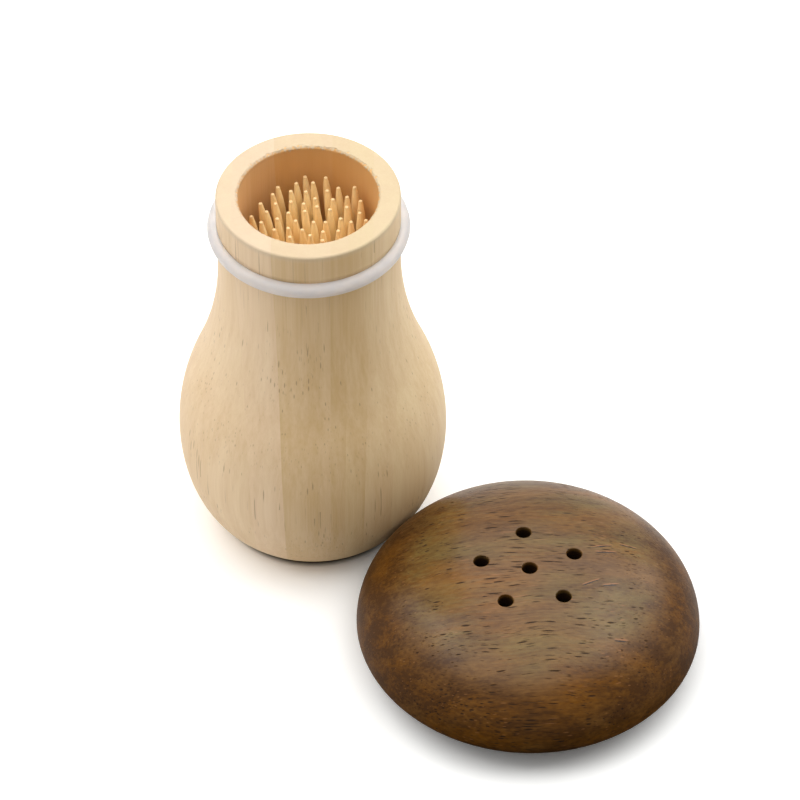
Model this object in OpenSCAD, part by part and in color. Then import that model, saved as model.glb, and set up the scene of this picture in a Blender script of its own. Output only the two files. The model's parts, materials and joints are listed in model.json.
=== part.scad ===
// Mushroom-shaped toothpick dispenser: a turned wooden vessel with a silicone ring
// round its neck, a domed wooden cap with six dispensing holes, and its toothpicks.
// The cap lies on the table, dome up, beside the open vessel.
// Millimetres, +Z up. The origin is the centre of the vessel's foot, on the table.

/* [Vessel] */
// Height of the vessel, from the table to the rim
vessel_h = 95; // [85:1:105]
// Diameter of the flat foot that the vessel stands on
foot_d = 37; // [32:1:42]
// Largest diameter of the belly
belly_d = 60.6; // [56:0.2:64]
// Height of the belly's widest line
belly_z = 25.4; // [22:0.2:30]
// How far the lower belly's ellipse is cut off by the table
foot_cut = 0.3; // [0.2:0.1:2]
// Radius of the convex arc above the belly's widest line
shoulder_arc_r = 52.5; // [45:0.5:60]
// Radius of the hollow arc that leads into the neck
throat_arc_r = 84; // [60:1:90]
// Outer diameter of the neck and of the rim
neck_d = 40; // [38:0.5:42]
// Rounding of the rim's outer edge
rim_round = 0.5; // [0.4:0.1:1.5]
// Bevel of the rim's inner edge
mouth_bevel = 0.4; // [0.2:0.1:0.8]
// Diameter of the bore that holds the toothpicks
bore_d = 30.4; // [28.4:0.2:32]
// Depth of the bore below the rim
bore_depth = 71; // [69:0.5:76]

/* [Seal ring] */
// Thickness of the silicone ring's round section
ring_t = 3.5; // [3:0.1:4]
// Distance from the rim down to the middle of the ring
ring_drop = 9.1; // [6:0.1:11]
// How far the middle of the ring's section stands out from the neck
ring_stand = 0.3; // [0:0.1:0.8]
// How much deeper the stretched ring presses than its groove is cut
ring_press = 0.05; // [0.02:0.01:0.1]

/* [Cap] */
// Diameter of the cap at its widest line
cap_d = 76.3; // [70:0.1:82]
// Height of the cap, from the table to the top of its crown
cap_h = 25; // [22:0.5:28]
// Height of the cap's widest line
cap_widest_z = 7.9; // [6:0.1:10]
// Diameter of the flat ring that the cap lies on
cap_base_d = 53; // [50:1:66]
// Fullness of the crown towards its side: 2 is an ellipse, more is squarer
crown_side_fullness = 2.9; // [2:0.1:3.2]
// Fullness of the crown towards its top: 2 is an ellipse
crown_top_fullness = 1.95; // [1.8:0.05:2.4]
// Fullness of the rounding under the widest line: 1 is a straight bevel
base_fullness = 1.4; // [1.2:0.1:2.6]
// How much the silicone ring is squeezed by the socket, on the radius
socket_squeeze = 0.25; // [0.1:0.05:0.5]
// How far the socket reaches past the silicone ring when the cap is on
socket_cover = 1.65; // [1:0.05:3]
// Bevel at the socket's mouth, which leads the ring in
socket_bevel = 0.8; // [0.4:0.1:1.2]
// Diameter of each dispensing hole
hole_d = 3.4; // [2.6:0.1:4]
// Number of holes in the ring round the centre hole
hole_count = 5; // [3:1:6]
// Diameter of the circle on which the ring of holes lies
hole_circle_d = 21.7; // [16:0.1:26]
// Direction of the first hole of the ring, in degrees
hole_turn = 96; // [0:1:120]

/* [Toothpicks] */
// Number of toothpicks in the bore
pick_count = 54; // [6:1:54]
// Length of a toothpick
pick_l = 65; // [63:0.5:66]
// Thickness of a toothpick's shaft
pick_d = 1.9; // [1.7:0.1:2]
// Thickness of its blunt ends
pick_tip_d = 0.85; // [0.6:0.05:1.1]
// Length over which each end tapers
pick_taper = 6; // [4:0.5:14]
// Spare room between neighbouring toothpicks at the floor of the bore
pick_gap = 0.25; // [0.2:0.05:0.4]
// Room between the bore's wall and the outermost toothpicks
pick_wall_gap = 0.35; // [0.2:0.05:0.6]
// How much the fan of toothpicks twists from the floor up to the rim, in degrees
pick_twist_angle = 8; // [0:1:15]

/* [Layout] */
// Room between the belly and the cap, where they come closest
cap_room = 0.3; // [0.3:0.1:20]
// Direction of the cap's centre from the vessel's, from straight right towards the front, in degrees
cap_bearing_angle = 42.95; // [0:0.05:90]

/* [Hidden] */
TURNED_FN = 128;
HOLE_FN = 64;
PICK_FN = 32;
BELLY_STEPS = 14;
CROWN_STEPS = 20;
EDGE_STEPS = 5;
TAPER_STEPS = 4;
NEAR_STEPS = 25;
CUT = 1;

foot_r = foot_d / 2;
belly_r = belly_d / 2;
neck_r = neck_d / 2;
bore_r = bore_d / 2;
bore_floor_z = vessel_h - bore_depth;
ring_z = vessel_h - ring_drop;
ring_r = ring_t / 2;
ring_centre_r = neck_r + ring_stand;
groove_r = ring_r - ring_press;

cap_r = cap_d / 2;
cap_base_r = cap_base_d / 2;
crown_h = cap_h - cap_widest_z;
socket_r = ring_centre_r + ring_r - socket_squeeze;
socket_depth = ring_drop + ring_r + socket_cover;

// The toothpicks stand on a sunflower pattern. On the floor it is packed close and
// stands off centre, and at the rim it fills the mouth, so that the bundle fans out.
SUNFLOWER_ANGLE = 137.508;
PACKING_RATIO = 0.58;
pick_r = pick_d / 2;
floor_spread = (pick_d + pick_gap) * sqrt(pick_count) * PACKING_RATIO;
rim_spread = bore_r - pick_r - pick_wall_gap;
floor_shift = rim_spread - floor_spread;
FOOT_SCATTER = 0.08;
LEAN_SCATTER = 0.3;
LENGTH_SCATTER = 0.6;
SCATTER_SEED = 2;

function two_digits(i) = i < 10 ? str("0", i) : str(i);
function pick_name(i) = str("toothpick_", two_digits(i));
PICK_NAMES = [for (i = [1 : pick_count]) pick_name(i)];

// Points along an arc, from one angle to another
function arc(centre, r, from, to, steps) = [
    for (k = [0 : steps])
        let (a = from + (to - from) * k / steps)
        centre + r * [cos(a), sin(a)]
];

// The first quarter of a rounded oval with its own fullness along each axis, from [w, 0] to [0, h]
function oval_quarter(w, h, side, top, steps) = [
    for (k = [0 : steps])
        let (a = 90 * k / steps)
        [w * pow(cos(a), 2 / side), h * pow(sin(a), 2 / top)]
];

// Repeatable scatter between -1 and 1 for toothpick i, with its own series for each use
function scatter(i, use) =
    let (wave = sin(i * 127.1 + use * 311.7 + SCATTER_SEED * 74.7) * 437.58)
    2 * (wave - floor(wave)) - 1;

// Lower belly: an ellipse from the foot to the widest line
belly_half_h = belly_z + foot_cut;
foot_angle = asin(belly_z / belly_half_h);
belly_half_w = (belly_r - foot_r) / (1 - cos(foot_angle));
lower_belly = [
    for (k = [0 : BELLY_STEPS])
        let (a = foot_angle * (1 - k / BELLY_STEPS))
        [belly_r - belly_half_w * (1 - cos(a)), belly_z - belly_half_h * sin(a)]
];

// Shoulder and throat: two arcs that touch, the throat's ending upright at the neck
shoulder_centre = [belly_r - shoulder_arc_r, belly_z];
throat_reach = neck_r + throat_arc_r - shoulder_centre.x;
throat_rise = sqrt(pow(shoulder_arc_r + throat_arc_r, 2) - pow(throat_reach, 2));
throat_centre = [neck_r + throat_arc_r, belly_z + throat_rise];
meeting_angle = atan2(throat_rise, throat_reach);
shoulder = arc(shoulder_centre, shoulder_arc_r, 0, meeting_angle, BELLY_STEPS);
throat = arc(throat_centre, throat_arc_r, 180 + meeting_angle, 180, BELLY_STEPS);

rim_edge = arc([neck_r - rim_round, vessel_h - rim_round], rim_round, 0, 90, EDGE_STEPS);

// The outline of the vessel that the lathe follows, without the point that two arcs share
vessel_outline = concat(
    [[0, 0]],
    lower_belly,
    [for (k = [1 : BELLY_STEPS]) shoulder[k]],
    [for (k = [1 : BELLY_STEPS]) throat[k]],
    rim_edge,
    [[0, vessel_h]]
);

crown = oval_quarter(cap_r, crown_h, crown_side_fullness, crown_top_fullness, CROWN_STEPS);
cap_side = oval_quarter(cap_r - cap_base_r, cap_widest_z, base_fullness, base_fullness, EDGE_STEPS * 2);
cap_outline = concat(
    [[0, 0]],
    [for (k = [EDGE_STEPS * 2 : -1 : 1]) [cap_base_r + cap_side[k].x, cap_widest_z - cap_side[k].y]],
    [for (point = crown) point + [0, cap_widest_z]]
);

// Radius of the vessel's and of the cap's outline at a height of the cap
function vessel_radius(z) = z < belly_z
    ? belly_r - belly_half_w * (1 - sqrt(1 - pow((belly_z - z) / belly_half_h, 2)))
    : shoulder_centre.x + sqrt(pow(shoulder_arc_r, 2) - pow(z - belly_z, 2));
function cap_radius(z) = z < cap_widest_z
    ? cap_base_r + (cap_r - cap_base_r)
        * pow(1 - pow(1 - z / cap_widest_z, base_fullness), 1 / base_fullness)
    : cap_r * pow(1 - pow((z - cap_widest_z) / crown_h, crown_top_fullness), 1 / crown_side_fullness);

// The cap lies as near to the vessel as the room between the two outlines allows
cap_away = cap_room + max([
    for (k = [0 : NEAR_STEPS])
        let (z = cap_h * k / NEAR_STEPS) vessel_radius(z) + cap_radius(z)
]);
cap_place = cap_away * [cos(cap_bearing_angle), -sin(cap_bearing_angle)];

pick_tip_r = pick_tip_d / 2;
function pick_length(i) = pick_l + LENGTH_SCATTER * scatter(i, 5);
function taper_r(share) = pick_tip_r + (pick_r - pick_tip_r) * sin(90 * share);
function pick_outline(length) = concat(
    [[0, 0]],
    [for (k = [0 : TAPER_STEPS]) [taper_r(k / TAPER_STEPS), pick_taper * k / TAPER_STEPS]],
    [for (k = [TAPER_STEPS : -1 : 0]) [taper_r(k / TAPER_STEPS), length - pick_taper * k / TAPER_STEPS]],
    [[0, length]]
);

// Where toothpick i meets the floor of the bore and the plane of the rim
function sunflower(i, turn) =
    let (angle = i * SUNFLOWER_ANGLE + turn)
    sqrt((i - 0.5) / pick_count) * [cos(angle), sin(angle)];
function foot_point(i) =
    [floor_shift, 0] + floor_spread * sunflower(i, 0) + FOOT_SCATTER * [scatter(i, 1), scatter(i, 2)];
function rim_point(i) =
    (rim_spread - LEAN_SCATTER) * sunflower(i, pick_twist_angle) + LEAN_SCATTER * [scatter(i, 3), scatter(i, 4)];

module vessel() {
    color("#e3c79c")
    difference() {
        rotate_extrude($fn = TURNED_FN) polygon(vessel_outline);
        translate([0, 0, bore_floor_z])
            cylinder(d = bore_d, h = bore_depth + CUT, $fn = TURNED_FN);
        translate([0, 0, vessel_h - mouth_bevel])
            cylinder(r1 = bore_r, r2 = bore_r + mouth_bevel + CUT, h = mouth_bevel + CUT, $fn = TURNED_FN);
        rotate_extrude($fn = TURNED_FN)
            translate([ring_centre_r, ring_z]) circle(r = groove_r, $fn = HOLE_FN);
    }
}

module seal_ring() {
    color("#eef0f4")
    rotate_extrude($fn = TURNED_FN)
        translate([ring_centre_r, ring_z]) circle(r = ring_r, $fn = HOLE_FN);
}

module dispensing_hole() {
    translate([0, 0, socket_depth - CUT])
        cylinder(d = hole_d, h = cap_h - socket_depth + 2 * CUT, $fn = HOLE_FN);
}

module cap() {
    color("#5b3826")
    translate([cap_place.x, cap_place.y, 0])
    difference() {
        rotate_extrude($fn = TURNED_FN) polygon(cap_outline);
        translate([0, 0, -CUT])
            cylinder(r = socket_r, h = socket_depth + CUT, $fn = TURNED_FN);
        translate([0, 0, -CUT])
            cylinder(r1 = socket_r + socket_bevel + CUT, r2 = socket_r, h = socket_bevel + CUT, $fn = TURNED_FN);
        dispensing_hole();
        for (k = [0 : hole_count - 1])
            rotate(hole_turn + 360 * k / hole_count)
                translate([hole_circle_d / 2, 0, 0]) dispensing_hole();
    }
}

module toothpick(i) {
    lean = rim_point(i) - foot_point(i);
    lean_angle = atan2(norm(lean), bore_depth);
    lift = pick_tip_r * sin(lean_angle);
    color("#d9ad66")
    translate([foot_point(i).x, foot_point(i).y, bore_floor_z + lift])
        rotate([0, lean_angle, atan2(lean.y, lean.x)])
            rotate_extrude($fn = PICK_FN) polygon(pick_outline(pick_length(i)));
}

vessel();
seal_ring();
cap();
for (i = [1 : pick_count]) toothpick(i);
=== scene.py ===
"""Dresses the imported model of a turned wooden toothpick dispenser.

The vessel, the silicone ring round its neck, the domed cap and the toothpicks are
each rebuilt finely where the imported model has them, and get their finishes here.
Lengths are in metres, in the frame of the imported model: the origin is the centre
of the vessel's foot, +Z is up, and the camera looks along +Y.
"""

import json
import logging
import math
from collections.abc import Callable, Iterable, Sequence
from dataclasses import dataclass
from enum import Enum
from typing import Any

import bmesh
import bpy
from mathutils import Matrix, Vector, noise
from mathutils.geometry import delaunay_2d_cdt


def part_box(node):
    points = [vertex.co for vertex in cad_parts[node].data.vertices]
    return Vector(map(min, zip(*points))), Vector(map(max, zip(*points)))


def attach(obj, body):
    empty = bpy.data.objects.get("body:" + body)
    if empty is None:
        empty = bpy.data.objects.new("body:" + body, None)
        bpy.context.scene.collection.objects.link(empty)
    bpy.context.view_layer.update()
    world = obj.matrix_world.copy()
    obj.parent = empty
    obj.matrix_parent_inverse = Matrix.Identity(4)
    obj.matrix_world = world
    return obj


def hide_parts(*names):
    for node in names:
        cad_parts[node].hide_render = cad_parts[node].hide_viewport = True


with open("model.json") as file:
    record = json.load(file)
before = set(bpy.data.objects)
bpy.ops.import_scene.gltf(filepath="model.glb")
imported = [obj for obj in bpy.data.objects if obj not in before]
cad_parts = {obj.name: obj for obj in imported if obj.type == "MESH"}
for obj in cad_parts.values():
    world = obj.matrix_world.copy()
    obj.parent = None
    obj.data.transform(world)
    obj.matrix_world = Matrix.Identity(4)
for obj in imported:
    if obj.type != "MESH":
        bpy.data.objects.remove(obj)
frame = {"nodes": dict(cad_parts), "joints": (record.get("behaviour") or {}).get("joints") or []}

log = logging.getLogger("dispenser")

MM = 0.001
WELD = 2e-7
SEAM_WELD = 2e-6

Colour = tuple[float, float, float]
Place = tuple[float, float, float]
# Two values that belong together, such as both ends of a range or a radius and a height
Span = tuple[float, float]
Outline = list[Span]
Material = bpy.types.Material
Socket = bpy.types.NodeSocket

ORIGIN: Place = (0.0, 0.0, 0.0)


class Slot(Enum):
    """The record's material slots."""

    PALE_WOOD = "pale_wood"
    DARK_WOOD = "dark_wood"
    SILICONE = "silicone"
    TOOTHPICK_WOOD = "toothpick_wood"


class Mask(Enum):
    """Mesh attributes that tell a finish where on a piece it is."""

    BORE = "bore"
    END_GRAIN = "end_grain"
    TIP = "tip"
    FIBRE = "fibre"
    TONE = "tone"


# ---------------------------------------------------------------- node trees


class Graph:
    """Adds nodes to one node tree, sets their plain values and links their sockets."""

    def __init__(self, tree: bpy.types.NodeTree) -> None:
        """Starts on a tree.

        Args:
            tree: The node tree to build in.
        """
        self.tree = tree

    def feed(self, socket: Socket, value: Any) -> None:
        """Links a socket to another, or sets its plain value.

        Args:
            socket: The input socket.
            value: An output socket, or a value for the input.
        """
        if isinstance(value, Socket):
            self.tree.links.new(value, socket)
        elif isinstance(value, tuple) and len(value) == 3 and socket.type == "RGBA":
            socket.default_value = (*value, 1.0)
        else:
            socket.default_value = value

    def add(
        self, kind: str, inputs: dict[int | str, Any] | None = None, **settings: Any
    ) -> bpy.types.Node:
        """Adds a node.

        Args:
            kind: The node's type name.
            inputs: Values or sockets for its inputs, by name or by place.
            **settings: Properties of the node itself.

        Returns:
            The new node.
        """
        node = self.tree.nodes.new(kind)
        for name, value in settings.items():
            setattr(node, name, value)
        for key, value in (inputs or {}).items():
            self.feed(node.inputs[key], value)
        return node

    def math(self, operation: str, *values: Any, clamp: bool = False) -> Socket:
        """Adds a Math node on up to three values and returns its output."""
        node = self.add("ShaderNodeMath", operation=operation, use_clamp=clamp)
        for socket, value in zip(node.inputs, values):
            self.feed(socket, value)
        return node.outputs[0]

    def times(self, first: Any, second: Any, clamp: bool = False) -> Socket:
        """Returns two values multiplied."""
        return self.math("MULTIPLY", first, second, clamp=clamp)

    def plus(self, value: Any, share: Any, base: Any, clamp: bool = False) -> Socket:
        """Returns a share of a value added to a base."""
        return self.math("MULTIPLY_ADD", value, share, base, clamp=clamp)

    def pile(self, base: Any, *layers: tuple[Any, float]) -> Socket:
        """Returns a base with a share of each layer added to it."""
        for value, share in layers:
            base = self.plus(value, share, base)
        return base

    def vector(self, operation: str, *values: Any) -> Socket:
        """Adds a Vector Math node on up to three vectors and returns its vector."""
        node = self.add("ShaderNodeVectorMath", operation=operation)
        for socket, value in zip(node.inputs, values):
            self.feed(socket, value)
        return node.outputs[0]

    def measure(self, operation: str, *values: Any) -> Socket:
        """Adds a Vector Math node on up to two vectors and returns its value."""
        return self.vector(operation, *values).node.outputs["Value"]

    def scaled(self, vector: Any, factor: Any) -> Socket:
        """Returns a vector times a value."""
        inputs = {0: vector, "Scale": factor}
        return self.add("ShaderNodeVectorMath", inputs, operation="SCALE").outputs[0]

    def combine(self, x: Any = 0.0, y: Any = 0.0, z: Any = 0.0) -> Socket:
        """Returns a vector made of three values."""
        return self.add("ShaderNodeCombineXYZ", {0: x, 1: y, 2: z}).outputs[0]

    def separate(self, vector: Any) -> list[Socket]:
        """Returns the three parts of a vector."""
        return list(self.add("ShaderNodeSeparateXYZ", {0: vector}).outputs)

    def spread(
        self, value: Any, low: float, high: float, to_low: Any = 0.0, to_high: Any = 1.0
    ) -> Socket:
        """Returns a value taken smoothly from one range to another, and held at its ends."""
        node = self.add(
            "ShaderNodeMapRange",
            {"Value": value, "From Min": low, "From Max": high, "To Min": to_low, "To Max": to_high},
            interpolation_type="SMOOTHSTEP",
        )
        return node.outputs[0]

    def clouds(self, vector: Any, detail: float = 2.0, roughness: float = 0.5) -> Socket:
        """Returns Noise Texture's value on a vector that is already scaled."""
        node = self.add(
            "ShaderNodeTexNoise",
            {"Vector": vector, "Scale": 1.0, "Detail": detail, "Roughness": roughness},
            noise_dimensions="3D",
        )
        return node.outputs[0]

    def blend(self, share: Any, first: Any, second: Any, way: str = "MIX") -> Socket:
        """Returns two colours mixed.

        Args:
            share: How much of the second colour, from 0 to 1.
            first: The colour at 0.
            second: The colour at 1.
            way: The blend type.

        Returns:
            The mixed colour's socket.
        """
        node = self.add("ShaderNodeMix", data_type="RGBA", blend_type=way, clamp_factor=True)
        for place, value in ((0, share), (6, first), (7, second)):
            self.feed(node.inputs[place], value)
        return node.outputs[2]

    def steps(self, value: Any, stops: Sequence[tuple[float, Colour]]) -> Socket:
        """Returns three levels that each hold from one place to the next.

        Args:
            value: Where to read, from 0 to 1.
            stops: Each place and its three levels, in order.

        Returns:
            The levels, as a colour's socket.
        """
        node = self.add("ShaderNodeValToRGB", {0: value})
        node.color_ramp.interpolation = "CONSTANT"
        while len(node.color_ramp.elements) < len(stops):
            node.color_ramp.elements.new(0.5)
        for element, (place, levels) in zip(node.color_ramp.elements, stops):
            element.position = place
            element.color = (*levels, 1.0)
        return node.outputs[0]

    def place(self) -> Socket:
        """Returns the place on the piece, in the frame's metres."""
        return self.add("ShaderNodeTexCoord").outputs["Object"]

    def mask(self, mask: Mask, output: str = "Fac") -> Socket:
        """Returns one of the pieces' masks."""
        return self.add("ShaderNodeAttribute", attribute_name=mask.value).outputs[output]

    def matt(self, colour: Any) -> Socket:
        """Returns a plain matt shader."""
        return self.add("ShaderNodeBsdfDiffuse", {"Color": colour}).outputs[0]

    def cover(self, share: Any, first: Socket, second: Socket) -> Socket:
        """Returns two shaders mixed, with a share of the second."""
        return self.add("ShaderNodeMixShader", {0: share, 1: first, 2: second}).outputs[0]

    def surface(self, shader: Socket, kind: str = "ShaderNodeOutputMaterial") -> None:
        """Ends the tree with a shader."""
        self.feed(self.add(kind).inputs["Surface"], shader)


class Group(Graph):
    """A node group with named inputs and outputs, built once."""

    FLOAT = "NodeSocketFloat"
    INT = "NodeSocketInt"
    VECTOR = "NodeSocketVector"
    GEOMETRY = "NodeSocketGeometry"
    MATERIAL = "NodeSocketMaterial"

    def __init__(
        self, name: str, kind: str, inputs: dict[str, tuple[str, Any]], outputs: dict[str, str]
    ) -> None:
        """Makes the empty group.

        Args:
            name: The group's name.
            kind: The type of the node tree.
            inputs: Each input's socket type and default value, by name.
            outputs: Each output's socket type, by name.
        """
        super().__init__(bpy.data.node_groups.new(name, kind))
        self.keys: dict[str, str] = {}
        for label, (socket_type, default) in inputs.items():
            socket = self.tree.interface.new_socket(name=label, in_out="INPUT", socket_type=socket_type)
            self.keys[label] = socket.identifier
            if default is not None:
                socket.default_value = default
        for label, socket_type in outputs.items():
            self.tree.interface.new_socket(name=label, in_out="OUTPUT", socket_type=socket_type)
        self.given = self.add("NodeGroupInput").outputs
        self.result = self.add("NodeGroupOutput").inputs

    def place_in(self, graph: Graph, inputs: dict[str, Any]) -> Socket:
        """Places this shader group in a material.

        Args:
            graph: The material's graph.
            inputs: Values or sockets for the group's named inputs.

        Returns:
            The group's first output.
        """
        node = graph.add("ShaderNodeGroup", node_tree=self.tree)
        for name, value in inputs.items():
            graph.feed(node.inputs[name], value)
        return node.outputs[0]


class ShapeTree(Group):
    """A Geometry Nodes tree that gives one geometry."""

    def __init__(self, name: str, inputs: dict[str, tuple[str, Any]]) -> None:
        """Makes the empty tree.

        Args:
            name: The tree's name.
            inputs: Each input's socket type and default value, by name.
        """
        super().__init__(name, "GeometryNodeTree", inputs, {"Geometry": Group.GEOMETRY})

    def facing(self, direction: Any) -> Socket:
        """Returns the rotation that turns Z to a direction."""
        kind = "FunctionNodeAlignRotationToVector"
        return self.add(kind, {"Vector": direction}, axis="Z").outputs[0]

    def coat(self, geometry: Socket) -> None:
        """Ends this tree with real geometry in the finish that it is given."""
        real = self.add("GeometryNodeRealizeInstances", {"Geometry": geometry})
        coated = self.add(
            "GeometryNodeSetMaterial", {"Geometry": real.outputs[0], "Material": self.given["Finish"]}
        )
        self.feed(self.result["Geometry"], coated.outputs[0])


@dataclass(frozen=True)
class Dashes:
    """One kind of pore, with its room across and along in millimetres."""

    cell: float
    length: float
    thickness: float
    crowded: float
    alone: float
    shift: Place = ORIGIN


class WoodEffects:
    """The shader groups that all the woods share. Their fibres run along Z."""

    def __init__(self) -> None:
        """Builds the groups."""
        self.streaks = self._streaks()
        self.pores = self._pores()
        self.mottle = self._mottle()

    @staticmethod
    def _group(name: str, inputs: dict[str, tuple[str, Any]]) -> Group:
        """Makes an empty shader group with one vector and one value coming out."""
        return Group(
            name,
            "ShaderNodeTree",
            {"Vector": (Group.VECTOR, None), **inputs},
            {"Value": Group.FLOAT},
        )

    def _streaks(self) -> Group:
        """Returns the group for fibres: long soft lines along Z."""
        group = self._group(
            "Wood fibres",
            {"Width": (Group.FLOAT, 0.5 * MM), "Length": (Group.FLOAT, 30 * MM)},
        )
        size = group.combine(group.given["Width"], group.given["Width"], group.given["Length"])
        scaled = group.vector("DIVIDE", group.given["Vector"], size)
        group.feed(group.result["Value"], group.spread(group.clouds(scaled, 3.0, 0.62), 0.25, 0.75))
        return group

    def _pores(self) -> Group:
        """Returns the group for pores: scattered thin dashes along Z."""
        group = self._group(
            "Wood pores",
            {
                "Cell": (Group.FLOAT, 0.8 * MM),
                "Length": (Group.FLOAT, 8 * MM),
                "Thickness": (Group.FLOAT, 0.14),
                "Share": (Group.FLOAT, 0.4),
            },
        )
        size = group.combine(group.given["Cell"], group.given["Cell"], group.given["Length"])
        scaled = group.vector("DIVIDE", group.given["Vector"], size)
        cells = group.add("ShaderNodeTexVoronoi", {"Vector": scaled, "Scale": 1.0}, feature="F1")
        pick, _, stretch = group.separate(cells.outputs["Color"])
        reach = group.times(group.given["Thickness"], group.plus(stretch, 0.8, 0.5))
        inside = group.math("SUBTRACT", 1.0, group.math("DIVIDE", cells.outputs["Distance"], reach))
        shape = group.times(inside, 2.2, clamp=True)
        chosen = group.math("LESS_THAN", pick, group.given["Share"])
        group.feed(group.result["Value"], group.times(shape, chosen))
        return group

    def _mottle(self) -> Group:
        """Returns the group for broad patches, a little longer along Z than across."""
        group = self._group("Wood mottling", {"Size": (Group.FLOAT, 12 * MM)})
        across = group.given["Size"]
        size = group.combine(across, across, group.times(across, 2.4))
        scaled = group.vector("DIVIDE", group.given["Vector"], size)
        group.feed(group.result["Value"], group.spread(group.clouds(scaled, 1.5, 0.45), 0.32, 0.68))
        return group

    def fibres(self, graph: Graph, place: Socket, width: float, length: float) -> Socket:
        """Returns fibres of a width and a length in millimetres."""
        size = {"Width": width * MM, "Length": length * MM}
        return self.streaks.place_in(graph, {"Vector": place, **size})

    def patches(self, graph: Graph, place: Socket, size: float, shift: Place = ORIGIN) -> Socket:
        """Returns broad patches of a size in millimetres."""
        moved = graph.vector("ADD", place, shift)
        return self.mottle.place_in(graph, {"Vector": moved, "Size": size * MM})

    def dashes(self, graph: Graph, place: Socket, kind: Dashes, crowd: Any = 0.0) -> Socket:
        """Returns pores that crowd where a patch is.

        Args:
            graph: The material's graph.
            place: The place, with the fibres' direction as Z.
            kind: What the pores are like.
            crowd: The patch.

        Returns:
            The pores' mask.
        """
        return self.pores.place_in(
            graph,
            {
                "Vector": graph.vector("ADD", place, kind.shift),
                "Cell": kind.cell * MM,
                "Length": kind.length * MM,
                "Thickness": kind.thickness,
                "Share": graph.plus(crowd, kind.crowded, kind.alone),
            },
        )


# ------------------------------------------------------------------ finishes


def new_object(name: str, data: bpy.types.ID) -> bpy.types.Object:
    """Makes an object and puts it in the scene."""
    made = bpy.data.objects.new(name, data)
    bpy.context.scene.collection.objects.link(made)
    return made


def empty_graph(owner: Material | bpy.types.World) -> Graph:
    """Returns the emptied node tree of a material or a world."""
    owner.use_nodes = True
    owner.node_tree.nodes.clear()
    return Graph(owner.node_tree)


def new_material(name: str) -> tuple[Material, Graph, bpy.types.Node]:
    """Makes an empty material with one Principled shader.

    Args:
        name: The material's name.

    Returns:
        The material, its graph, and the shader node.
    """
    material = bpy.data.materials.new(name)
    graph = empty_graph(material)
    shader = graph.add("ShaderNodeBsdfPrincipled")
    graph.surface(shader.outputs[0])
    return material, graph, shader


def bumped(graph: Graph, shader: bpy.types.Node, height: Any, depth: float) -> None:
    """Gives a shader a fine relief.

    Args:
        graph: The material's graph.
        shader: The Principled shader.
        height: The relief's height, from 0 to 1.
        depth: How far 1 stands above 0, in metres.
    """
    bump = graph.add("ShaderNodeBump", {"Strength": 1.0, "Distance": depth, "Height": height})
    graph.feed(shader.inputs["Normal"], bump.outputs[0])


@dataclass(frozen=True)
class Strip:
    """One of the upright strips that the vessel's block was glued up from."""

    start: float
    darkness: float
    pinkness: float
    flecks: float


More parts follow.
